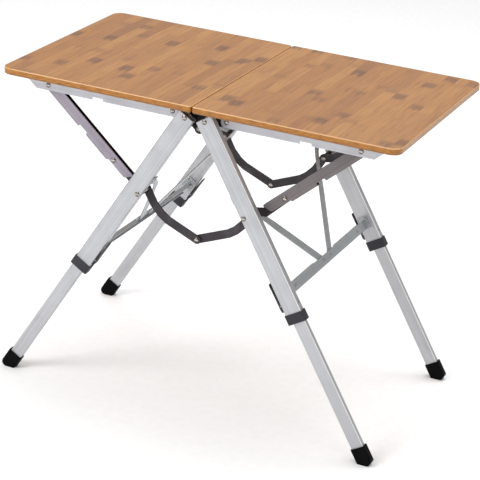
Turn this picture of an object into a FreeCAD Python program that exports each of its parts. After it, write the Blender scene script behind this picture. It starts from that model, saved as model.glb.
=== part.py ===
import FreeCAD, Part
import math
import os

# Folding side table with a two-board bamboo top, aluminium leg frame and one-action fold.
# Millimetres. +X is the long side of the top, -Y the front, +Z up.
# The origin is on the floor, under the middle of the top.

V = FreeCAD.Vector
OUT = "parts"

# Overall size
TOP_LENGTH = 700.0
TOP_WIDTH = 400.0
TOP_HEIGHT = 554.0
BOARD_THICKNESS = 11.5
SEAM_GAP = 2.0
BOARD_CORNER_RADIUS = 18.0
BOARD_SEAM_RADIUS = 4.0
BOARD_EDGE_RADIUS = 2.0
UNDERSIDE = TOP_HEIGHT - BOARD_THICKNESS

# Pivots of the right-hand half, as (x, z)
CENTRE_PIVOT = (0.0, 506.5)
LEG_PIVOT = (17.7, 527.2)
PLATE_RIVET = (48.0, 527.8)
STRUT_PIVOT = (277.7, 527.0)
LEVER_PIVOT = (95.9, 379.6)
STRUT_LEVER_PIVOT = (154.7, 419.3)
LEVER_CENTRE_PIVOT = (0.0, 308.9)
LEVER_SHOULDER = (117.1, 383.3)
LEVER_BENDS = [(81.5, 355.0), (68.0, 340.5), (55.0, 331.5)]

# Layers across the width, as distances from the middle plane
LEG_OUTER = 185.5
LEG_INNER = 172.5
RIGHT_PLATE = (164.3, 165.8)
LEFT_PLATE = (162.3, 163.8)
RAIL_OUTER = 167.4
RAIL_INNER = 144.2
STRUT_OUTER = 162.0
STRUT_INNER = 153.0
LEFT_LEVER = (149.7, 152.7)
RIGHT_LEVER = (146.4, 149.4)

# Rails under the boards
RAIL_WALL = 1.6
RAIL_BOTTOM = 518.0
RAIL_START = 38.0
RAIL_END_BOTTOM = 300.0
RAIL_END_TOP = 328.0
RAIL_NOTCH = (175.0, 195.0)
RAIL_NOTCH_DEPTH = 4.5
SCREW_XS = [85.0, 150.0, 235.0]

# Legs
LEG_ANGLE = 31.2
LEG_WIDTH = 30.0
LEG_WALL = 1.4
LEG_CORNER = 1.6
LEG_ABOVE_PIVOT = 4.5
LEG_TOP_OUTER_RADIUS = 4.0
LEG_TOP_INNER_RADIUS = 1.0
LEG_LENGTH = 346.0
LOWER_WIDTH = 22.0
LOWER_DEPTH = 9.6
LOWER_OFFSET = 2.0
LOWER_WALL = 1.2
LOWER_CORNER = 1.5
LOWER_TOP = 296.0
LOWER_END = 598.0
COLLAR_TOP = 339.0
COLLAR_END = 356.0
COLLAR_WIDTH = 34.0
COLLAR_CORNER = 3.0
STOP_RIVET_S = 326.0
FOOT_TOP = 585.5
FOOT_WIDTH = 26.8
FOOT_OFFSET = 2.7
FOOT_DEPTH = 14.6
FOOT_TOE_RADIUS = 9.0

# Cross bar and its V brace
BAR_S = 307.0
BAR_WIDTH = 16.0
BAR_FACE = -2.4
BAR_SHEET = 1.8
BAR_FLANGE = 7.0
BAR_EDGE_START = 45.0
BAR_EDGE_END = 150.0
BAR_END_RIVETS = [(3.0, 297.5), (-8.5, 305.0)]
BAR_WEB_RIVET_Y = 135.0
BRACE_WIDTH = 14.0
BRACE_TOP_WIDTH = 10.0
BRACE_FOOT_Y = 14.3
BRACE_STANDOFF = 0.9
BRACE_KNEE = (150.0, 149.0)
BRACE_TOP_S = 134.0
BRACE_TAB_Y = 170.0

# Lock lever on each leg
LOCK_PIVOT_N = -16.5
LOCK_PIVOT_S = 322.0
LOCK_STUD_S = 330.0
LOCK_HALF = 5.6
LOCK_PIN_R = 1.0
LOCK_EAR_R = 1.25
LOCK_CHEEK = 2.2
LOCK_STUD_R = 2.0
LOCK_HOLE_R = 3.0

# Struts and levers
STRUT_HALF = 10.0
STRUT_SHEET = 1.5
STRUT_PAST_LEVER = 41.0
STRUT_END_SLANT = 7.0
STRUT_NOTCH = (82.0, 101.5)
LEVER_HALF = 7.2
LEVER_WIDE_HALF = 7.8

# Fasteners
PIN_R = 2.5
PIN_FIT = 0.05
HEAD_R = 4.3
HEAD_H = 2.0
SLEEVE_R = 5.5
SMALL_SHANK_R = 2.0
SCREW_IN_BOARD = 7.5
ROD_R = 4.0
ROD_SLEEVE_R = 6.0

MID_Y = (LEG_OUTER + LEG_INNER) / 2.0


def box(x0, x1, y0, y1, z0, z1):
    return Part.makeBox(x1 - x0, y1 - y0, z1 - z0, V(x0, y0, z0))


def fuse(shapes):
    result = shapes[0]
    for shape in shapes[1:]:
        result = result.fuse(shape)
    return result.removeSplitter()


def round_y(x, z, radius, y0, y1):
    return Part.makeCylinder(radius, abs(y1 - y0), V(x, min(y0, y1), z), V(0, 1, 0))


def dome(base, direction, radius=HEAD_R, height=HEAD_H):
    """Rivet head: a short rim and a dome that stand on base and point along direction."""
    rim = 0.3 * height
    rise = height - rim
    ball = (radius * radius + rise * rise) / (2.0 * rise)
    turn = math.asin(radius / ball) / 2.0
    middle = V(ball * math.sin(turn), 0, height - ball + ball * math.cos(turn))
    arc = Part.Arc(V(radius, 0, rim), middle, V(0, 0, height)).toShape()
    lines = Part.makePolygon([V(0, 0, height), V(0, 0, 0), V(radius, 0, 0), V(radius, 0, rim)])
    profile = Part.Face(Part.Wire([arc] + lines.Edges))
    head = profile.revolve(V(0, 0, 0), V(0, 0, 1), 360)
    head.Placement = FreeCAD.Placement(V(*base), FreeCAD.Rotation(V(0, 0, 1), V(*direction)))
    return head


def prism(points, y0, y1):
    """Prism along Y from (x, z) points."""
    wire = Part.makePolygon([V(x, y0, z) for x, z in points] + [V(points[0][0], y0, points[0][1])])
    return Part.Face(wire).extrude(V(0, y1 - y0, 0))


def fillet_along(shape, radius, axis):
    """Round every straight edge that runs along one of the main axes."""
    edges = []
    for edge in shape.Edges:
        if not isinstance(edge.Curve, Part.Line):
            continue
        direction = edge.tangentAt(edge.FirstParameter)
        if abs(abs(direction.dot(axis)) - 1.0) < 1e-6:
            edges.append(edge)
    return shape.makeFillet(radius, edges)


def flip_x(shape):
    return shape.mirror(V(0, 0, 0), V(1, 0, 0))


def flip_y(shape):
    return shape.mirror(V(0, 0, 0), V(0, 1, 0))


def placed(shape, side, end):
    """Move a right front shape to its own corner of the table."""
    if side == "left":
        shape = flip_x(shape)
    if end == "back":
        shape = flip_y(shape)
    return shape


def save(name, shapes):
    shape = shapes[0] if len(shapes) == 1 else Part.makeCompound(shapes)
    shape.exportStep(os.path.join(OUT, name + ".step"))
    volume = sum(solid.Volume for solid in shape.Solids)
    print(name, len(shape.Solids), round(volume, 1), shape.isValid())


# The leg frame: origin at the leg pivot, X out from the leg, Z up along it.
def from_leg(shape):
    shape = shape.copy()
    shape.rotate(V(0, 0, 0), V(0, 1, 0), -LEG_ANGLE)
    shape.translate(V(LEG_PIVOT[0], 0, LEG_PIVOT[1]))
    return shape


def to_leg(point):
    dx = point[0] - LEG_PIVOT[0]
    dz = point[1] - LEG_PIVOT[1]
    c = math.cos(math.radians(LEG_ANGLE))
    s = math.sin(math.radians(LEG_ANGLE))
    return dx * c + dz * s, -dx * s + dz * c


# The strut frame: origin at the strut pivot, X toward the lever pivot, Z square to it.
def strut_length():
    dx = STRUT_LEVER_PIVOT[0] - STRUT_PIVOT[0]
    dz = STRUT_LEVER_PIVOT[1] - STRUT_PIVOT[1]
    return math.hypot(dx, dz)


def from_strut(shape):
    dx = STRUT_PIVOT[0] - STRUT_LEVER_PIVOT[0]
    dz = STRUT_PIVOT[1] - STRUT_LEVER_PIVOT[1]
    angle = math.degrees(math.atan2(dz, dx))
    shape = flip_x(shape)
    shape.rotate(V(0, 0, 0), V(0, 1, 0), -angle)
    shape.translate(V(STRUT_PIVOT[0], 0, STRUT_PIVOT[1]))
    return shape


def make_board():
    half = TOP_WIDTH / 2.0
    board = box(SEAM_GAP / 2.0, TOP_LENGTH / 2.0, -half, half, UNDERSIDE, TOP_HEIGHT)
    outer = [e for e in board.Edges if e.BoundBox.ZLength > 1.0 and e.BoundBox.XMin > 100.0]
    board = board.makeFillet(BOARD_CORNER_RADIUS, outer)
    inner = [e for e in board.Edges if e.BoundBox.ZLength > 1.0 and e.BoundBox.XMax < 100.0]
    board = board.makeFillet(BOARD_SEAM_RADIUS, inner)
    rims = [e for e in board.Edges if e.BoundBox.ZLength < 0.01]
    board = board.makeFillet(BOARD_EDGE_RADIUS, rims)
    holes = []
    for x in SCREW_XS:
        for y in (-rail_middle(), rail_middle()):
            start = V(x, y, UNDERSIDE - 0.5)
            holes.append(Part.makeCylinder(SMALL_SHANK_R, SCREW_IN_BOARD + 0.5, start, V(0, 0, 1)))
    return board.cut(Part.makeCompound(holes))


def rail_middle():
    return (RAIL_OUTER + RAIL_INNER) / 2.0


def rail_outline():
    top = UNDERSIDE
    return [
        (RAIL_START + 5.0, RAIL_BOTTOM),
        (RAIL_END_BOTTOM, RAIL_BOTTOM),
        (RAIL_END_TOP, top),
        (RAIL_START, top),
        (RAIL_START, RAIL_BOTTOM + 8.0),
        (RAIL_START + 1.5, RAIL_BOTTOM + 3.0),
    ]


def make_rail():
    outer = prism(rail_outline(), -RAIL_OUTER, -RAIL_INNER)
    core = box(0.0, TOP_LENGTH, -RAIL_OUTER + RAIL_WALL, -RAIL_INNER - RAIL_WALL,
               RAIL_BOTTOM - 1.0, UNDERSIDE - RAIL_WALL)
    rail = outer.cut(core)
    notch = box(RAIL_NOTCH[0], RAIL_NOTCH[1], -RAIL_OUTER - 1.0, -RAIL_INNER + 1.0,
                RAIL_BOTTOM - 1.0, RAIL_BOTTOM + RAIL_NOTCH_DEPTH)
    notch = fillet_along(notch, 1.5, V(0, 1, 0))
    rail = rail.cut(notch)
    rail = rail.cut(round_y(STRUT_PIVOT[0], STRUT_PIVOT[1], PIN_R, -RAIL_OUTER - 1, -RAIL_INNER + 1))
    rail = rail.cut(round_y(PLATE_RIVET[0], PLATE_RIVET[1], PIN_R, -RAIL_OUTER - 1, -RAIL_OUTER + 3))
    for x in SCREW_XS:
        start = V(x, -rail_middle(), UNDERSIDE - 3.0)
        rail = rail.cut(Part.makeCylinder(SMALL_SHANK_R, 4.0, start, V(0, 0, 1)))
    return rail


def make_plate(layer):
    """Hinge plate that joins a rail to the centre pivot and carries the leg pivot."""
    y0, y1 = -layer[1], -layer[0]
    outline = [(-7.0, 510.0), (-7.0, 504.0), (0.0, 499.0), (8.0, 502.5), (24.0, 516.0), (54.0, 519.5),
               (57.0, 523.0), (57.0, 534.0), (53.0, 538.5), (-2.0, 538.5), (-5.0, 535.0)]
    plate = prism(outline, y0, y1)
    plate = plate.fuse(round_y(CENTRE_PIVOT[0], CENTRE_PIVOT[1], 8.5, y0, y1)).removeSplitter()
    bores = ((CENTRE_PIVOT, ROD_R + PIN_FIT), (LEG_PIVOT, PIN_R + PIN_FIT), (PLATE_RIVET, PIN_R))
    for (x, z), radius in bores:
        plate = plate.cut(round_y(x, z, radius, y0 - 1.0, y1 + 1.0))
    return plate


def make_plate_rivet(layer):
    """Rivet that clamps a hinge plate inside the rail, with a spacer where there is a gap."""
    x, z = PLATE_RIVET
    wall = -RAIL_OUTER + RAIL_WALL
    inside = -layer[0]
    parts = [round_y(x, z, PIN_R, -RAIL_OUTER, inside)]
    parts.append(dome((x, -RAIL_OUTER, z), (0, -1, 0)))
    parts.append(round_y(x, z, 4.5, inside, inside + 1.0))
    if layer[1] < RAIL_OUTER - RAIL_WALL - 0.5:
        parts.append(round_y(x, z, 7.0, wall, -layer[1]))
    return fuse(parts)


def make_strut_pin():
    """Rivet across the rail that carries the upper end of the strut, with spacer sleeves."""
    x, z = STRUT_PIVOT
    parts = [round_y(x, z, PIN_R, -RAIL_OUTER, -RAIL_INNER)]
    parts.append(dome((x, -RAIL_OUTER, z), (0, -1, 0)))
    parts.append(dome((x, -RAIL_INNER, z), (0, 1, 0)))
    parts.append(round_y(x, z, SLEEVE_R, -RAIL_OUTER + RAIL_WALL, -STRUT_OUTER - 0.3))
    parts.append(round_y(x, z, SLEEVE_R, -STRUT_INNER + 0.3, -RAIL_INNER - RAIL_WALL))
    return fuse(parts)


def make_screw(x, y):
    base = UNDERSIDE - RAIL_WALL
    head = Part.makeCone(2.6, 3.8, 1.6, V(x, y, base - 1.6), V(0, 0, 1))
    shank = Part.makeCylinder(SMALL_SHANK_R, RAIL_WALL + SCREW_IN_BOARD, V(x, y, base), V(0, 0, 1))
    return head.fuse(shank).removeSplitter()


def tube(width, depth, wall, corner, x_mid, z0, z1):
    """Rounded rectangular tube along Z around the leg's mid plane."""
    half_x, half_y = width / 2.0, depth / 2.0
    outer = box(x_mid - half_x, x_mid + half_x, -MID_Y - half_y, -MID_Y + half_y, z0, z1)
    outer = fillet_along(outer, corner, V(0, 0, 1))
    if wall <= 0.0:
        return outer
    half_x, half_y = half_x - wall, half_y - wall
    inner = box(x_mid - half_x, x_mid + half_x, -MID_Y - half_y, -MID_Y + half_y, z0 - 1.0, z1 + 1.0)
    inner = fillet_along(inner, max(corner - wall, 0.4), V(0, 0, 1))
    return outer.cut(inner)


def make_leg():
    depth = LEG_OUTER - LEG_INNER
    leg = tube(LEG_WIDTH, depth, LEG_WALL, LEG_CORNER, 0.0, -LEG_LENGTH, LEG_ABOVE_PIVOT)
    n, s = to_leg(LEVER_PIVOT)
    leg = leg.cut(round_y(0.0, 0.0, PIN_R, -LEG_OUTER - 1, -LEG_INNER + 1))
    leg = leg.cut(round_y(n, s, PIN_R, -LEG_OUTER - 1, -LEG_INNER + 1))
    side = LEG_WIDTH / 2.0
    stud_hole = Part.makeCylinder(LOCK_HOLE_R, 4.0, V(-side - 1.0, -MID_Y, -LOCK_STUD_S), V(1, 0, 0))
    leg = leg.cut(stud_hole)
    corners = box(-side, side, -LEG_OUTER, -LEG_INNER, -LEG_LENGTH, LEG_ABOVE_PIVOT)
    for radius, x in ((LEG_TOP_OUTER_RADIUS, side), (LEG_TOP_INNER_RADIUS, -side)):
        edge = top_corner_edge(corners, x)
        corners = corners.makeFillet(radius, [edge])
    return from_leg(leg.common(corners))


def top_corner_edge(shape, x):
    """Edge across the top of a block in the leg frame, on the side at x."""
    for edge in shape.Edges:
        bounds = edge.BoundBox
        if bounds.YLength > 1.0 and bounds.ZMin > 0.0 and abs(bounds.Center.x - x) < 0.01:
            return edge


def make_leg_pin(layer):
    """Pin through the top of the leg on which the hinge plate turns."""
    x, z = LEG_PIVOT
    inside = -layer[0] + 0.3
    parts = [round_y(x, z, PIN_R, -LEG_OUTER, inside)]
    parts.append(dome((x, -LEG_OUTER, z), (0, -1, 0)))
    parts.append(round_y(x, z, 5.0, inside, inside + 1.6))
    parts.append(round_y(x, z, SLEEVE_R, -LEG_INNER, -layer[1] - 0.3))
    return fuse(parts)


def make_lever_pin(layer):
    """Pin through the leg on which the lever turns, with the sleeve that spaces the lever."""
    x, z = LEVER_PIVOT
    inside = -layer[0] + 0.3
    parts = [round_y(x, z, PIN_R, -LEG_OUTER, inside)]
    parts.append(dome((x, -LEG_OUTER, z), (0, -1, 0)))
    parts.append(round_y(x, z, SLEEVE_R, -LEG_INNER, -layer[1] - 0.3))
    parts.append(dome((x, inside, z), (0, 1, 0)))
    return fuse(parts)


def make_collar():
    depth = LEG_OUTER - LEG_INNER + 3.6
    outer = tube(COLLAR_WIDTH, depth, 0.0, COLLAR_CORNER, 0.0, -COLLAR_END, -COLLAR_TOP)
    socket = tube(LEG_WIDTH, LEG_OUTER - LEG_INNER, 0.0, LEG_CORNER, 0.0,
                  -LEG_LENGTH, -COLLAR_TOP + 1.0)
    bore = tube(LOWER_WIDTH + 0.6, LOWER_DEPTH + 0.6, 0.0, LOWER_CORNER + 0.3, LOWER_OFFSET,
                -COLLAR_END - 1.0, -LEG_LENGTH + 1.0)
    collar = outer.cut(socket).cut(bore)
    return from_leg(collar)


def make_lower_leg():
    return from_leg(tube(LOWER_WIDTH, LOWER_DEPTH, LOWER_WALL, LOWER_CORNER, LOWER_OFFSET,
                         -LOWER_END, -LOWER_TOP))


def make_foot():
    """Rubber boot on the lower leg, cut flat at the floor and rounded at its toe."""
    block = tube(FOOT_WIDTH, FOOT_DEPTH, 0.0, 3.0, FOOT_OFFSET, -640.0, -FOOT_TOP)
    socket = tube(LOWER_WIDTH, LOWER_DEPTH, 0.0, LOWER_CORNER, LOWER_OFFSET,
                  -LOWER_END, -FOOT_TOP + 1.0)
    foot = from_leg(block.cut(socket))
    foot = foot.common(box(0.0, 600.0, -300.0, 0.0, 0.0, 300.0))
    return foot.cut(make_toe_cut())


def make_toe_cut():
    """Waste outside the round of the toe, which is tangent to the floor and to the outer face."""
    r = FOOT_TOE_RADIUS
    c = math.cos(math.radians(LEG_ANGLE))
    s = math.sin(math.radians(LEG_ANGLE))
    outer_face = FOOT_OFFSET + FOOT_WIDTH / 2.0
    x = LEG_PIVOT[0] + (outer_face - r - (r - LEG_PIVOT[1]) * s) / c
    waste = box(x, x + 40.0, -300.0, 0.0, -1.0, r + r * s)
    return waste.cut(round_y(x, r, r, -301.0, 1.0))


def make_cross_bar():
    """Sheet bar between the two legs of one side, with turned edges and end plates."""
    z0 = -BAR_S - BAR_WIDTH / 2.0
    z1 = -BAR_S + BAR_WIDTH / 2.0
    face = BAR_FACE
    web = box(face - BAR_SHEET, face, -LEG_INNER + BAR_SHEET, LEG_INNER - BAR_SHEET, z0, z1)
    parts = [web]
    parts.append(box(face - BAR_FLANGE, face, -BAR_EDGE_END, BAR_EDGE_END, z0, z0 + BAR_SHEET))
    for sign in (-1, 1):
        y0, y1 = sorted((sign * BAR_EDGE_START, sign * BAR_EDGE_END))
        parts.append(box(face - BAR_FLANGE, face, y0, y1, z1 - BAR_SHEET, z1))
        y0, y1 = sorted((sign * (LEG_INNER - BAR_SHEET), sign * LEG_INNER))
        parts.append(box(-12.0, 7.0, y0, y1, z0, z1 + 7.0))
    bar = fuse(parts)
    for shank in bar_shanks():
        bar = bar.cut(shank).cut(flip_y(shank))
    return from_leg(bar)


def bar_shanks():
    """Rivet shanks on one leg, in the leg frame: brace foot, end plate, brace tab and bar face."""
    radius = SMALL_SHANK_R
    along_x, along_y = V(1, 0, 0), V(0, 1, 0)
    foot = V(BAR_FACE - 2.0 * BAR_SHEET, -BRACE_FOOT_Y, -BAR_S)
    shanks = [Part.makeCylinder(radius, 2.0 * BAR_SHEET, foot, along_x)]
    for x, s in BAR_END_RIVETS:
        shanks.append(Part.makeCylinder(radius, BAR_SHEET, V(x, -LEG_INNER, -s), along_y))
    tab = V(-LEG_WIDTH / 2.0 - BAR_SHEET, -MID_Y, -BRACE_TOP_S)
    shanks.append(Part.makeCylinder(radius, BAR_SHEET, tab, along_x))
    web = V(BAR_FACE - BAR_SHEET, -BAR_WEB_RIVET_Y, -BAR_S)
    shanks.append(Part.makeCylinder(radius, BAR_SHEET, web, along_x))
    return shanks


def make_bar_rivets():
    """Rivets of the cross bar, its end plates and the brace arms on one leg."""
    heads = [dome((BAR_FACE, -BRACE_FOOT_Y, -BAR_S), (1, 0, 0), 3.2, 1.6)]
    for x, s in BAR_END_RIVETS:
        heads.append(dome((x, -LEG_INNER + BAR_SHEET, -s), (0, 1, 0), 3.0, 1.5))
    tab_x = -LEG_WIDTH / 2.0 - BAR_SHEET
    heads.append(dome((tab_x, -MID_Y, -BRACE_TOP_S), (-1, 0, 0), 3.0, 1.3))
    heads.append(dome((BAR_FACE, -BAR_WEB_RIVET_Y, -BAR_S), (1, 0, 0), 3.2, 1.6))
    rivets = [from_leg(fuse([shank, head])) for shank, head in zip(bar_shanks(), heads)]
    rivets.append(from_leg(dome((LEG_WIDTH / 2.0, -MID_Y, -STOP_RIVET_S), (1, 0, 0), 2.6, 1.2)))
    return rivets


def make_brace_arm():
    """Flat strip from the middle of the cross bar up to the leg, bent flat at both ends."""
    side = -LEG_WIDTH / 2.0
    half = BRACE_TOP_WIDTH / 2.0
    knee_y, knee_s = BRACE_KNEE
    rise = BAR_S - knee_s
    reach = knee_y - BRACE_FOOT_Y
    length = math.hypot(rise, reach)
    low = BAR_FACE - BAR_SHEET
    high = side - BRACE_STANDOFF
    profile = [(low, -3.5), (low, 8.0), (high, 0.93 * length), (high, length)]
    outline = profile + [(x - BAR_SHEET, z) for x, z in reversed(profile)]
    strip = prism(outline, -BRACE_WIDTH / 2.0, BRACE_WIDTH / 2.0).common(brace_taper(length))
    strip.rotate(V(0, 0, 0), V(1, 0, 0), math.degrees(math.atan2(reach, rise)))
    strip.translate(V(0, -BRACE_FOOT_Y, -BAR_S))
    end = (BRACE_TAB_Y, BRACE_TOP_S + 2.0)
    bend = flat_strap(BRACE_KNEE, end, half, high - BAR_SHEET, high)
    tab = box(side - BAR_SHEET, side, -LEG_OUTER + 2.5, -BRACE_TAB_Y + half,
              -BRACE_TOP_S - 8.0, -BRACE_TOP_S + 8.0)
    tab = fillet_along(tab, 3.0, V(1, 0, 0))
    arm = fuse([strip, bend, tab])
    for shank in bar_shanks():
        arm = arm.cut(shank)
    return from_leg(arm)


def brace_taper(length):
    """Outline of the strip seen square on: full width below, and narrower toward the knee."""
    wide, narrow = BRACE_WIDTH / 2.0, BRACE_TOP_WIDTH / 2.0
    low, start, end, high = -10.0, 0.6 * length, 0.82 * length, length + 10.0
    toe = narrow - 1.0
    edge = [(toe, low), (toe, -3.5), (wide, 2.0), (wide, start), (narrow, end), (narrow, high)]
    points = [V(-30.0, y, z) for y, z in edge] + [V(-30.0, -y, z) for y, z in reversed(edge)]
    return Part.Face(Part.makePolygon(points + [points[0]])).extrude(V(60.0, 0, 0))


def flat_strap(a, b, half, x0, x1):
    """Strip with round ends in the plane of the leg's side, between (y, s) points of the front leg."""
    start = V(x0, -a[0], -a[1])
    run = V(0, a[0] - b[0], a[1] - b[1])
    across = V(0, -run.z, run.y) * (half / run.Length)
    corners = [start + across, start - across, start - across + run, start + across + run]
    bar = Part.Face(Part.makePolygon(corners + [corners[0]])).extrude(V(x1 - x0, 0, 0))
    ends = [Part.makeCylinder(half, x1 - x0, point, V(1, 0, 0)) for point in (start, start + run)]
    return fuse([bar] + ends)


def make_lock_lug():
    """Lug on the inner side of the leg that carries the lock lever."""
    side = -LEG_WIDTH / 2.0
    base = box(side - 1.0, side, -MID_Y - 2.0, -MID_Y + 2.0, -LOCK_PIVOT_S - 6.0, -LOCK_PIVOT_S + 6.0)
    ear = round_y(LOCK_PIVOT_N, -LOCK_PIVOT_S, LOCK_EAR_R, -MID_Y - 2.0, -MID_Y + 2.0)
    neck = box(LOCK_PIVOT_N, side, -MID_Y - 2.0, -MID_Y + 2.0,
               -LOCK_PIVOT_S - LOCK_EAR_R, -LOCK_PIVOT_S + LOCK_EAR_R)
    pin = round_y(LOCK_PIVOT_N, -LOCK_PIVOT_S, LOCK_PIN_R, -MID_Y - LOCK_HALF, -MID_Y + LOCK_HALF)
    return from_leg(fuse([base, ear, neck, pin]))


def make_lock_lever():
    """Channel-shaped press lever with the locking stud at its lower end."""
    outer = [(-15.15, -333.0), (-18.0, -333.0), (-19.2, -329.0), (-19.2, -312.0), (-19.3, -298.0),
             (-19.6, -287.0), (-19.5, -282.0), (-17.9, -281.0), (-17.5, -288.0), (-16.8, -300.0),
             (-16.0, -312.0), (-15.4, -318.5), (-15.15, -321.5)]
    inner = [(-10.0, -331.5), (-16.9, -331.5), (-17.9, -328.5), (-17.95, -312.0), (-18.1, -298.0),
             (-18.3, -290.0), (-10.0, -290.0)]
    inside = LOCK_HALF - LOCK_CHEEK
    lever = prism(outer, -MID_Y - LOCK_HALF, -MID_Y + LOCK_HALF)
    lever = lever.cut(prism(inner, -MID_Y - inside, -MID_Y + inside))
    bore = round_y(LOCK_PIVOT_N, -LOCK_PIVOT_S, LOCK_PIN_R + PIN_FIT, -MID_Y - 6.0, -MID_Y + 6.0)
    lever = lever.cut(bore)
    boss = box(-18.4, -16.5, -MID_Y - inside, -MID_Y + inside, -LOCK_STUD_S - 2.5, -LOCK_STUD_S + 2.5)
    stud = Part.makeCylinder(LOCK_STUD_R, 9.0, V(-18.5, -MID_Y, -LOCK_STUD_S), V(1, 0, 0))
    return from_leg(fuse([lever, boss, stud]))


def make_strut():
    length = strut_length() + STRUT_PAST_LEVER
    h = STRUT_HALF
    low = length - STRUT_END_SLANT
    outline = [(-9.0, -4.0), (-4.0, -h), (STRUT_NOTCH[0], -h), (STRUT_NOTCH[0] + 1.5, -h + 4.5),
               (STRUT_NOTCH[1] - 1.5, -h + 4.5), (STRUT_NOTCH[1], -h), (strut_length() - 9.5, -h),
               (strut_length() - 6.5, -h + 3.5), (low - 2.0, -h + 3.5), (low, -h + 5.0),
               (length, h - 2.0), (length - 2.0, h), (-6.0, h), (-9.0, 6.0)]
    body = prism(outline, -STRUT_OUTER, -STRUT_INNER)
    core = box(-20.0, length + 20.0, -STRUT_OUTER + STRUT_SHEET, -STRUT_INNER - STRUT_SHEET,
               -h + STRUT_SHEET, h + 1.0)
    body = body.cut(core)
    body = body.cut(round_y(0.0, 0.0, PIN_R + PIN_FIT, -STRUT_OUTER - 1, -STRUT_INNER + 1))
    body = body.cut(round_y(strut_length(), 0.0, PIN_R, -STRUT_OUTER - 1, -STRUT_INNER + 1))
    return from_strut(body)


def make_strut_rivet():
    """Rivet at the strut's lower joint."""
    x, z = STRUT_LEVER_PIVOT
    shank = round_y(x, z, PIN_R, -STRUT_OUTER, -STRUT_INNER)
    return fuse([shank, dome((x, -STRUT_OUTER, z), (0, -1, 0))])


def strap(a, b, half, y0, y1):
    """Straight bar with round ends between two (x, z) points."""
    dx, dz = b[0] - a[0], b[1] - a[1]
    length = math.hypot(dx, dz)
    nx, nz = -dz / length * half, dx / length * half
    corners = [(a[0] + nx, a[1] + nz), (b[0] + nx, b[1] + nz),
               (b[0] - nx, b[1] - nz), (a[0] - nx, a[1] - nz)]
    ends = [round_y(x, z, half, y0, y1) for x, z in (a, b)]
    return fuse([prism(corners, y0, y1)] + ends)


def make_lever(layer):
    y0, y1 = -layer[1], -layer[0]
    narrow = [LEVER_SHOULDER, LEVER_PIVOT] + LEVER_BENDS + [LEVER_CENTRE_PIVOT]
    straps = [strap(STRUT_LEVER_PIVOT, LEVER_SHOULDER, LEVER_WIDE_HALF, y0, y1)]
    straps += [strap(a, b, LEVER_HALF, y0, y1) for a, b in zip(narrow, narrow[1:])]
    lever = fuse(straps)
    x, z = LEVER_PIVOT
    lever = lever.cut(round_y(x, z, PIN_R + PIN_FIT, y0 - 1, y1 + 1))
    for x, z in (STRUT_LEVER_PIVOT, LEVER_CENTRE_PIVOT):
        lever = lever.cut(round_y(x, z, PIN_R, y0 - 1, y1 + 1))
    return lever


def make_lever_rivets(layer, side):
    """Rivets at both ends of a lever, with their heads where the other layers leave room."""
    y0, y1 = -layer[1], -layer[0]
    toward_tail, toward_centre = (1, -1) if side == "left" else (-1, 1)
    rivets = []
    for (x, z), toward in ((STRUT_LEVER_PIVOT, toward_tail), (LEVER_CENTRE_PIVOT, toward_centre)):
        base = y0 if toward < 0 else y1
        rivets.append(fuse([round_y(x, z, PIN_R, y0, y1), dome((x, base, z), (0, toward, 0))]))
    return rivets


def make_centre_rod():
    """Rod across the table on which both halves of the top turn."""
    x, z = CENTRE_PIVOT
    end = RIGHT_PLATE[1] + 0.3
    rod = round_y(x, z, ROD_R, -end, end)
    tube_end = LEFT_PLATE[0] - 0.3
    sleeve = round_y(x, z, ROD_SLEEVE_R, -tube_end, tube_end)
    return fuse([rod, sleeve])


def make_centre_caps():
    x, z = CENTRE_PIVOT
    end = RIGHT_PLATE[1] + 0.3
    return [dome((x, sign * end, z), (0, sign, 0), 5.2, 2.6) for sign in (-1, 1)]


def build_half(side):
    plate_layer = LEFT_PLATE if side == "left" else RIGHT_PLATE
    lever_layer = LEFT_LEVER if side == "left" else RIGHT_LEVER
    board = make_board()
    save(side + "_board", [placed(board, side, "front")])
    rail = make_rail()
    strut = make_strut()
    lever = make_lever(lever_layer)
    both = ("front", "back")
    for end in both:
        save(side + "_" + end + "_rail", [placed(rail, side, end)])
        save(side + "_" + end + "_strut", [placed(strut, side, end)])
        save(side + "_" + end + "_strut_rivet", [placed(make_strut_rivet(), side, end)])
        save(side + "_" + end + "_lever", [placed(lever, side, end)])
        rivets = make_lever_rivets(lever_layer, side)
        save(side + "_" + end + "_lever_rivets", [placed(rivet, side, end) for rivet in rivets])
        save(side + "_" + end + "_leg", [placed(make_leg(), side, end)])
        save(side + "_" + end + "_lower_leg", [placed(make_lower_leg(), side, end)])
        save(side + "_" + end + "_foot", [placed(make_foot(), side, end)])
        save(side + "_" + end + "_lock_lever", [placed(make_lock_lever(), side, end)])
    save(side + "_hinge_plates", [placed(make_plate(plate_layer), side, end) for end in both])
    rivets = [make_plate_rivet(plate_layer), make_strut_pin()]
    save(side + "_rail_rivets", [placed(rivet, side, end) for rivet in rivets for end in both])
    screws = [make_screw(x, -rail_middle()) for x in SCREW_XS]
    save(side + "_board_screws", [placed(screw, side, end) for screw in screws for end in both])
    save(side + "_cross_bar", [placed(make_cross_bar(), side, "front")])
    save(side + "_brace_arms", [placed(make_brace_arm(), side, end) for end in both])
    save(side + "_collars", [placed(make_collar(), side, end) for end in both])
    save(side + "_lock_lugs", [placed(make_lock_lug(), side, end) for end in both])
    pins = [make_leg_pin(plate_layer), make_lever_pin(lever_layer)]
    save(side + "_leg_pins", [placed(pin, side, end) for pin in pins for end in both])
    rivets = make_bar_rivets()
    save(side + "_bar_rivets", [placed(rivet, side, end) for rivet in rivets for end in both])


def main():
    os.makedirs(OUT, exist_ok=True)
    save("centre_rod", [make_centre_rod()])
    save("centre_caps", make_centre_caps())
    for side in ("left", "right"):
        build_half(side)


main()
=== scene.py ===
"""Looks for the folding side table: studio, camera and procedural materials on the CAD frame."""
import math

import bpy
from mathutils import Matrix, Vector


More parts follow.
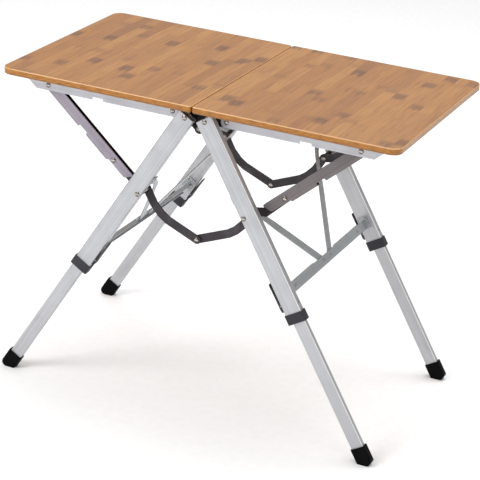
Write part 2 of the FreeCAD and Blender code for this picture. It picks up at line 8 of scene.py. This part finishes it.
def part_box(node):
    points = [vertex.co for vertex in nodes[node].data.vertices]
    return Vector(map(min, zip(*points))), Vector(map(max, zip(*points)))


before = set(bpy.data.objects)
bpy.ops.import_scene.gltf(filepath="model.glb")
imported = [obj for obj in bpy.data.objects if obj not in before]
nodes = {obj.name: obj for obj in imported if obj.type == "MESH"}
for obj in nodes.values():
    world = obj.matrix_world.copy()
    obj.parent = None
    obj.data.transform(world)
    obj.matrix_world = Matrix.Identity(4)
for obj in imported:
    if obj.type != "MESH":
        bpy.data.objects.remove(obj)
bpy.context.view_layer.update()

# Camera: angles in degrees, lengths in metres
AZIMUTH = 23.62
ELEVATION = 22.85
ROLL = 3.73
DISTANCE = 3.2
TARGET = Vector((0.0112, 0.0, 0.2569))
LENS_MM = 139.3
SENSOR_MM = 36.0

# Light, in watts, and the strength of the sky
KEY_POWER = 60.0
FILL_POWER = 12.0
TOP_POWER = 34.0
SKY_STRENGTH = 0.9

# The legs' slope from the vertical and the struts' from the level
LEG_ANGLE = math.radians(31.2)
STRUT_ANGLE = math.radians(41.2)

# Inside of the strut channels, where shade is painted dark, as distances from the middle plane
STRUT_WALL = 0.0012
STRUT_CHANNEL = (
    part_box("left_back_strut")[0].y + STRUT_WALL,
    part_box("left_back_strut")[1].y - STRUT_WALL,
)

# The bamboo strips of the top, and the heights of its two faces
STRIP_WIDTH = 0.0208
KNOT_SPACING = 0.17
BOARD_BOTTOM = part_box("left_board")[0].z
BOARD_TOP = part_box("left_board")[1].z

# Softened edges of the pieces, and the half width of the floor
EDGE_WIDTH = 0.0004
EDGE_SEGMENTS = 2
BEVEL_ANGLE = math.radians(35.0)
SHARP_ANGLE = math.radians(32.0)
FLOOR_HALF = 120.0


def srgb(r, g, b):
    """Linear colour from 0-255 screen values."""
    def linear(c):
        c /= 255.0
        return c / 12.92 if c <= 0.04045 else ((c + 0.055) / 1.055) ** 2.4
    return (linear(r), linear(g), linear(b), 1.0)


class Nodes:
    """Short way to build a material's node tree."""

    def __init__(self, name):
        self.material = bpy.data.materials.new(name)
        self.material.use_nodes = True
        self.tree = self.material.node_tree
        self.tree.nodes.clear()
        self.output = self.new("ShaderNodeOutputMaterial")
        self.shader = self.new("ShaderNodeBsdfPrincipled")
        self.link(self.shader.outputs[0], self.output.inputs["Surface"])

    def new(self, kind):
        return self.tree.nodes.new(kind)

    def link(self, a, b):
        self.tree.links.new(a, b)

    def set(self, socket, value):
        """Link value if it is a socket, or else store it."""
        if isinstance(value, bpy.types.NodeSocket):
            self.link(value, socket)
        else:
            socket.default_value = value

    def math(self, operation, a, b=0.0):
        node = self.new("ShaderNodeMath")
        node.operation = operation
        for socket, value in zip(node.inputs, (a, b)):
            self.set(socket, value)
        return node.outputs[0]

    def ramp(self, value, low, high, to_low=0.0, to_high=1.0, smooth=True):
        """Value from low to high, taken to the range from to_low to to_high and held at its ends."""
        node = self.new("ShaderNodeMapRange")
        node.interpolation_type = "SMOOTHSTEP" if smooth else "LINEAR"
        for socket, item in zip(node.inputs, (value, low, high, to_low, to_high)):
            self.set(socket, item)
        return node.outputs[0]

    def mix(self, factor, a, b):
        """Colour a where factor is 0, and colour b where it is 1."""
        node = self.new("ShaderNodeMix")
        node.data_type = "RGBA"
        self.set(node.inputs[0], factor)
        self.set(node.inputs[6], a)
        self.set(node.inputs[7], b)
        return node.outputs[2]

    def coordinates(self, kind):
        """One kind of texture coordinate, as a vector and as X, Y and Z."""
        vector = self.new("ShaderNodeTexCoord").outputs[kind]
        split = self.new("ShaderNodeSeparateXYZ")
        self.link(vector, split.inputs[0])
        return vector, split.outputs[0], split.outputs[1], split.outputs[2]

    def place(self):
        return self.coordinates("Object")

    def join(self, x, y, z=0.0):
        node = self.new("ShaderNodeCombineXYZ")
        for socket, value in zip(node.inputs, (x, y, z)):
            self.set(socket, value)
        return node.outputs[0]

    def noise(self, vector, scale, detail=2.0, roughness=0.5):
        node = self.new("ShaderNodeTexNoise")
        self.set(node.inputs["Vector"], vector)
        node.inputs["Scale"].default_value = scale
        node.inputs["Detail"].default_value = detail
        node.inputs["Roughness"].default_value = roughness
        return node.outputs["Fac"]

    def random(self, vector):
        node = self.new("ShaderNodeTexWhiteNoise")
        node.noise_dimensions = "3D"
        self.set(node.inputs["Vector"], vector)
        return node.outputs["Value"]

    def bump(self, height, distance, strength=1.0):
        node = self.new("ShaderNodeBump")
        node.inputs["Strength"].default_value = strength
        node.inputs["Distance"].default_value = distance
        self.link(height, node.inputs["Height"])
        self.link(node.outputs[0], self.shader.inputs["Normal"])

    def finish(self, **values):
        """Set the shader's sockets, whose names have an underscore for each space, and end."""
        for name, value in values.items():
            self.set(self.shader.inputs[name.replace("_", " ")], value)
        return self.material


def stretched(n, along, across=1.0, angle=0.0, axis="X"):
    """Place, turned by angle about Y and squeezed along one axis so that noise runs along it."""
    mapping = n.new("ShaderNodeMapping")
    mapping.vector_type = "POINT"
    vector = n.place()[0]
    n.link(vector, mapping.inputs["Vector"])
    mapping.inputs["Rotation"].default_value = (0.0, angle, 0.0)
    squeeze = n.new("ShaderNodeVectorMath")
    squeeze.operation = "MULTIPLY"
    n.link(mapping.outputs[0], squeeze.inputs[0])
    scale = {"X": (along, across, across), "Y": (across, along, across), "Z": (across, across, along)}
    squeeze.inputs[1].default_value = scale[axis]
    return squeeze.outputs[0]


def metal(name, colour, dark, angle=0.0, axis="X", roughness=0.38, streak=0.35, metallic=0.7,
          channel=None, painted_corner_highlight=0.0):
    """Aluminium with fine lines along its length, faint wear and a soft sheen. channel is the
    distance from the middle plane, low and high, between which shade inside is painted dark.
    The last argument is the strength of a highlight painted on the corners facing outward."""
    n = Nodes(name)
    lines = n.noise(stretched(n, 0.002, 1.0, angle, axis), 620.0, 1.0, 0.5)
    broad = n.noise(stretched(n, 0.01, 1.0, angle, axis), 240.0, 1.0, 0.5)
    cloud = n.noise(n.place()[0], 22.0, 3.0, 0.55)
    brushing = n.math("ADD", n.math("MULTIPLY", lines, 0.7), n.math("MULTIPLY", broad, 0.3))
    tone = n.ramp(brushing, 0.38, 0.64)
    surface = n.mix(n.math("MULTIPLY", tone, streak), colour, dark)
    surface = n.mix(n.ramp(cloud, 0.45, 0.75, 0.0, 0.10), surface, dark)
    if channel:
        # Painted shade: the inside of the strut channel is darkened to near black.
        surface = n.mix(channel_shade_mask(n, channel), surface, srgb(24, 20, 22))
    # Painted highlight: the rounded corners facing +X are lightened toward white.
    if painted_corner_highlight:
        surface = n.mix(n.math("MULTIPLY", outward_corner(n), painted_corner_highlight), surface, srgb(255, 252, 248))
    n.bump(brushing, 0.00004, 0.35)
    rough = n.ramp(cloud, 0.3, 0.7, roughness - 0.05, roughness + 0.07)
    return n.finish(Base_Color=surface, Metallic=metallic, Roughness=rough)


def channel_shade_mask(n, channel):
    """1 between two distances from the middle plane, and 0 elsewhere."""
    depth = n.math("ABSOLUTE", n.place()[2])
    past = n.math("GREATER_THAN", depth, channel[0])
    short = n.math("LESS_THAN", depth, channel[1])
    return n.math("MULTIPLY", past, short)


def outward_corner(n):
    """1 on rounded corners between the front or back face and the +X face, and 0 elsewhere."""
    _, across, front, _ = n.coordinates("Normal")
    front = n.math("ABSOLUTE", front)
    corner = n.math("MULTIPLY", n.ramp(front, 0.15, 0.45), n.ramp(front, 0.80, 0.97, 1.0, 0.0))
    return n.math("MULTIPLY", corner, n.ramp(across, 0.1, 0.3))


def plastic(name, colour, light, roughness=0.5, grain=1600.0, depth=0.00004, metallic=0.0,
            gloss=0.35):
    """Moulded plastic, rubber or paint: fine grain with slightly lighter rubbed places."""
    n = Nodes(name)
    vector = n.place()[0]
    fine = n.noise(vector, grain, 2.0, 0.6)
    rub = n.noise(vector, 45.0, 4.0, 0.6)
    surface = n.mix(n.ramp(rub, 0.45, 0.8, 0.0, 0.6), colour, light)
    surface = n.mix(n.ramp(fine, 0.45, 0.75, 0.0, 0.35), surface, light)
    n.bump(fine, depth, 0.6)
    rough = n.ramp(rub, 0.3, 0.75, roughness + 0.05, roughness - 0.08)
    return n.finish(Base_Color=surface, Metallic=metallic, Roughness=rough, Specular_IOR_Level=gloss)


def polished(name, colour, roughness=0.2, rim=0.0):
    """Turned and polished steel with hairline scratches, and painted shade round the rim and on
    the lower side of a domed head.
    """
    n = Nodes(name)
    vector = n.place()[0]
    scratches = n.noise(vector, 1400.0, 3.0, 0.7)
    dull = n.noise(vector, 260.0, 2.0, 0.5)
    surface = n.mix(n.ramp(dull, 0.4, 0.8, 0.0, 0.3), colour, srgb(120, 112, 104))
    if rim:
        # Painted shade: the dome is darkened round its rim and on its lower side.
        surface = n.mix(head_painted_shade(n, rim), surface, srgb(30, 25, 23))
    n.bump(scratches, 0.00002, 0.3)
    rough = n.ramp(dull, 0.3, 0.7, roughness - 0.05, roughness + 0.1)
    return n.finish(Base_Color=surface, Metallic=1.0, Roughness=rough)


def head_painted_shade(n, rim):
    """Painted shade on a domed head: a painted dark reflection where it slopes away from its axis,
    and painted shade where it faces down.
    """
    _, across, front, up = n.coordinates("Normal")
    facing = n.math("MAXIMUM", n.math("ABSOLUTE", across), n.math("ABSOLUTE", front))
    slope = n.ramp(facing, 0.82, 0.98, rim, 0.0)
    under = n.ramp(up, -0.32, -0.02, 0.85 * rim, 0.0)
    return n.math("MAXIMUM", slope, under)


def bamboo():
    """Lacquered bamboo board: strips along Y with random tones, fibres, dark knots and grooves."""
    n = Nodes("bamboo")
    vector, x, y, z = n.place()
    strip = n.math("FLOOR", n.math("DIVIDE", x, STRIP_WIDTH))
    within = n.math("FRACT", n.math("DIVIDE", x, STRIP_WIDTH))
    own = n.random(n.join(strip, 3.0))
    phase = n.random(n.join(strip, 17.0))
    along = n.math("ADD", n.math("DIVIDE", y, KNOT_SPACING), n.math("MULTIPLY", phase, 7.0))
    fibres = n.noise(stretched(n, 0.012, 1.0, 0.0, "Y"), 1500.0, 3.0, 0.65)
    bands = n.noise(stretched(n, 0.05, 1.0, 0.0, "Y"), 260.0, 2.0, 0.5)
    cloud = n.noise(vector, 14.0, 3.0, 0.55)

    middle = srgb(160, 108, 54)
    dark = srgb(116, 70, 40)
    piece_tone = n.random(n.join(strip, n.math("FLOOR", n.math("ADD", along, 0.5)), 9.0))
    colour = n.mix(n.ramp(own, 0.1, 0.95), srgb(176, 124, 66), middle)
    colour = n.mix(n.ramp(piece_tone, 0.70, 1.0, 0.0, 0.42), colour, dark)
    colour = n.mix(n.ramp(cloud, 0.35, 0.75, 0.0, 0.40), colour, middle)
    colour = n.mix(n.ramp(bands, 0.42, 0.72, 0.0, 0.38), colour, dark)
    colour = n.mix(n.ramp(fibres, 0.48, 0.76, 0.0, 0.55), colour, dark)
    colour = n.mix(bamboo_knots(n, strip, along, bands), colour, srgb(88, 54, 36))

    seam = n.math("MINIMUM", within, n.math("SUBTRACT", 1.0, within))
    groove = n.ramp(seam, 0.0, 0.03, 0.35, 0.0)
    colour = n.mix(groove, colour, dark)
    colour = bamboo_edges(n, z, colour, own)

    height = n.math("ADD", n.math("MULTIPLY", fibres, 0.5), n.math("MULTIPLY", groove, -1.2))
    n.bump(height, 0.00012, 0.5)
    rough = n.ramp(cloud, 0.3, 0.8, 0.30, 0.40)
    return n.finish(Base_Color=colour, Roughness=rough, Coat_Weight=0.25, Coat_Roughness=0.22)


def bamboo_knots(n, strip, along, bands):
    """Strength of the dark knots, with one knot of random size and depth in each length of strip."""
    segment = n.math("FLOOR", along)
    knot_random = n.random(n.join(strip, segment, 8.0))
    ragged = n.math("MULTIPLY", n.math("SUBTRACT", bands, 0.5), 0.16)
    centre = n.math("ADD", n.math("SUBTRACT", n.math("FRACT", along), 0.5), ragged)
    half = n.ramp(knot_random, 0.0, 1.0, 0.04, 0.10, smooth=False)
    patch = n.ramp(n.math("SUBTRACT", half, n.math("ABSOLUTE", centre)), -0.03, 0.05)
    patch = n.math("MULTIPLY", patch, n.ramp(bands, 0.25, 0.6, 0.55, 1.0))
    return n.math("MULTIPLY", patch, n.ramp(knot_random, 0.12, 0.95, 0.04, 0.68))


def bamboo_edges(n, z, colour, own):
    """Colour of the top face, with layered edges below it painted darker toward the bottom as shade,
    a painted highlight along the rim and a paler underside.
    """
    layers = n.noise(stretched(n, 0.10, 1.0, 0.0, "X"), 700.0, 3.0, 0.6)
    streaks = n.noise(stretched(n, 0.35, 1.0, 0.0, "X"), 420.0, 2.0, 0.7)
    edge = n.mix(n.ramp(layers, 0.4, 0.7), srgb(176, 114, 26), srgb(132, 78, 14))
    edge = n.mix(n.ramp(streaks, 0.55, 0.75, 0.0, 0.8), edge, srgb(78, 42, 16))
    # Painted shade: the edges darken toward their lower corner.
    lower_edge_shade = n.ramp(z, BOARD_BOTTOM + 0.0003, BOARD_BOTTOM + 0.0043, 0.55, 0.0)
    edge = n.mix(lower_edge_shade, edge, srgb(84, 48, 12))
    side = n.ramp(z, BOARD_TOP - 0.0024, BOARD_TOP - 0.0012, 1.0, 0.0)
    colour = n.mix(side, colour, edge)
    # Painted highlight: a light line along the rounded rim between the top face and the edges.
    rise = n.ramp(z, BOARD_TOP - 0.0022, BOARD_TOP - 0.0014)
    fall = n.ramp(z, BOARD_TOP - 0.0009, BOARD_TOP - 0.0001, 1.0, 0.0)
    rim = n.math("MULTIPLY", rise, fall)
    colour = n.mix(n.math("MULTIPLY", rim, 0.7), colour, srgb(232, 184, 132))
    under = n.ramp(z, BOARD_BOTTOM + 0.0002, BOARD_BOTTOM + 0.0007, 1.0, 0.0)
    return n.mix(under, colour, n.mix(own, srgb(196, 150, 100), srgb(172, 124, 78)))


def assign(material, names):
    for name in names:
        piece = nodes[name]
        piece.data.materials.clear()
        piece.data.materials.append(material)


def soften_edges(names):
    """Bevel the sharp edges of CAD pieces with modifiers, so that they catch the light."""
    for name in names:
        piece = nodes[name]
        bevel = piece.modifiers.new("edge", "BEVEL")
        bevel.width = EDGE_WIDTH
        bevel.segments = EDGE_SEGMENTS
        bevel.limit_method = "ANGLE"
        bevel.angle_limit = BEVEL_ANGLE
        bevel.harden_normals = True
        weighted = piece.modifiers.new("flat faces", "WEIGHTED_NORMAL")
        weighted.keep_sharp = True
        weighted.weight = 80


def named(*ends, side=""):
    """Names of the pieces of one side, or of both, that end in one of the given words."""
    return [name for name in nodes if name.startswith(side) and name.endswith(ends)]


def paint():
    assign(bamboo(), named("_board"))
    paint_aluminium()
    paint_steel()
    paint_plastic()


def paint_aluminium():
    rail = metal("rail_aluminium", srgb(196, 197, 203), srgb(166, 165, 172), roughness=0.45)
    assign(rail, named("_rail"))
    bar = metal("bar_aluminium", srgb(174, 180, 184), srgb(136, 141, 145), axis="Y", metallic=0.35)
    assign(bar, named("_cross_bar", "_brace_arms", "_lock_lugs"))
    # Both struts are the same aluminium: their colours are painted shade and a painted mauve
    # reflection of the bamboo, lighter on the left strut than on the right.
    strut_shade_tones = {
        "left": (srgb(160, 153, 164), srgb(120, 113, 124)),
        "right": (srgb(126, 119, 120), srgb(90, 84, 86)),
    }
    for side, sign in (("left", -1.0), ("right", 1.0)):
        # The right legs get the painted corner highlight, the left legs none.
        leg = metal(side + "_leg_aluminium", srgb(193, 194, 198), srgb(124, 126, 130),
                    sign * LEG_ANGLE, "Z", roughness=0.42, streak=0.23, painted_corner_highlight=max(sign, 0.0))
        assign(leg, named("_leg", side=side))
        colour, dark = strut_shade_tones[side]
        strut = metal(side + "_strut_shaded_aluminium", colour, dark, sign * STRUT_ANGLE, "X",
                      roughness=0.42, streak=0.4, channel=STRUT_CHANNEL)
        assign(strut, named("_strut", side=side))


def paint_steel():
    black = plastic("black_steel", srgb(54, 50, 54), srgb(84, 79, 83), roughness=0.42,
                    grain=1200.0, depth=0.00003, metallic=0.3)
    assign(black, [name for name in named("_lever") if "lock" not in name])
    hinge = plastic("hinge_black", srgb(20, 19, 22), srgb(40, 38, 42), roughness=0.45,
                    grain=1200.0, depth=0.00003, gloss=0.25)
    assign(hinge, named("_hinge_plates"))
    rivets = named("rail_rivets", "lever_rivets", "_rivet", "_leg_pins", "centre_caps")
    # Rivet heads get painted shade round the rim and underneath.
    assign(polished("rivet_steel", srgb(206, 198, 188), 0.16, rim=0.92), rivets)
    assign(polished("bar_rivet_steel", srgb(176, 172, 166), 0.25), named("bar_rivets"))
    assign(polished("rod_steel", srgb(150, 150, 152), 0.35), named("centre_rod", "_board_screws"))


def paint_plastic():
    assign(plastic("collar_plastic", srgb(40, 40, 46), srgb(66, 66, 73)), named("_collars"))
    foot = plastic("foot_rubber", srgb(6, 6, 7), srgb(15, 14, 15), roughness=0.6,
                   grain=900.0, depth=0.00008, gloss=0.06)
    assign(foot, named("_foot"))
    lock = plastic("lock_plastic", srgb(36, 35, 38), srgb(66, 66, 70), roughness=0.48)
    assign(lock, named("_lock_lever"))


def shade():
    for piece in nodes.values():
        piece.data.shade_smooth()
        piece.data.set_sharp_from_angle(angle=SHARP_ANGLE)


def add_camera():
    azimuth, elevation, roll = (math.radians(angle) for angle in (AZIMUTH, ELEVATION, ROLL))
    reach = math.cos(elevation)
    back = Vector((math.sin(azimuth) * reach, -math.cos(azimuth) * reach, math.sin(elevation)))
    level = Vector((math.cos(azimuth), math.sin(azimuth), 0.0))
    upright = back.cross(level)
    right = level * math.cos(roll) + upright * math.sin(roll)
    up = upright * math.cos(roll) - level * math.sin(roll)
    turn = Matrix((right, up, back)).transposed().to_4x4()
    data = bpy.data.cameras.new("camera")
    data.lens = LENS_MM
    data.sensor_width = SENSOR_MM
    camera = bpy.data.objects.new("camera", data)
    camera.matrix_world = Matrix.Translation(TARGET + back * DISTANCE) @ turn
    bpy.context.scene.collection.objects.link(camera)
    bpy.context.scene.camera = camera


def area_light(name, place, size, power):
    """White square light at a place, turned toward the table."""
    data = bpy.data.lights.new(name, "AREA")
    data.shape = "SQUARE"
    data.size = size
    data.energy = power
    light = bpy.data.objects.new(name, data)
    light.location = place
    light.rotation_euler = (TARGET - Vector(place)).to_track_quat("-Z", "Y").to_euler()
    bpy.context.scene.collection.objects.link(light)


def add_studio():
    add_floor()
    add_sky()
    bpy.context.scene.view_settings.view_transform = "Standard"
    area_light("key", (-1.6, -2.4, 2.6), 1.4, KEY_POWER)
    area_light("fill", (2.8, -1.4, 1.4), 1.4, FILL_POWER)
    area_light("top", (0.2, 0.8, 2.8), 2.0, TOP_POWER)


def add_floor():
    n = Nodes("floor")
    speck = n.noise(n.place()[0], 60.0, 3.0, 0.5)
    tone = n.mix(n.ramp(speck, 0.3, 0.7), srgb(247, 247, 247), srgb(250, 250, 250))
    mesh = bpy.data.meshes.new("floor")
    signs = ((-1.0, -1.0), (1.0, -1.0), (1.0, 1.0), (-1.0, 1.0))
    corners = [(FLOOR_HALF * x, FLOOR_HALF * y, 0.0) for x, y in signs]
    mesh.from_pydata(corners, [], [(0, 1, 2, 3)])
    mesh.materials.append(n.finish(Base_Color=tone, Roughness=0.9))
    plane = bpy.data.objects.new("floor", mesh)
    bpy.context.scene.collection.objects.link(plane)


def add_sky():
    """White overhead and greyer toward the horizon, so that metal has something to reflect."""
    world = bpy.data.worlds.new("studio")
    world.use_nodes = True
    tree = world.node_tree
    background = tree.nodes["Background"]
    coords = tree.nodes.new("ShaderNodeTexCoord")
    split = tree.nodes.new("ShaderNodeSeparateXYZ")
    ramp = tree.nodes.new("ShaderNodeValToRGB")
    stops = ramp.color_ramp.elements
    stops[0].position, stops[0].color = 0.0, (0.20, 0.20, 0.21, 1.0)
    stops[1].position, stops[1].color = 0.75, (1.0, 1.0, 1.0, 1.0)
    middle = stops.new(0.22)
    middle.color = (0.42, 0.42, 0.43, 1.0)
    tree.links.new(coords.outputs["Generated"], split.inputs[0])
    tree.links.new(split.outputs[2], ramp.inputs[0])
    tree.links.new(ramp.outputs[0], background.inputs[0])
    background.inputs[1].default_value = SKY_STRENGTH
    bpy.context.scene.world = world


def main():
    shade()
    paint()
    soften_edges([name for name in nodes if "rivet" not in name and "pins" not in name])
    add_camera()
    add_studio()


main()
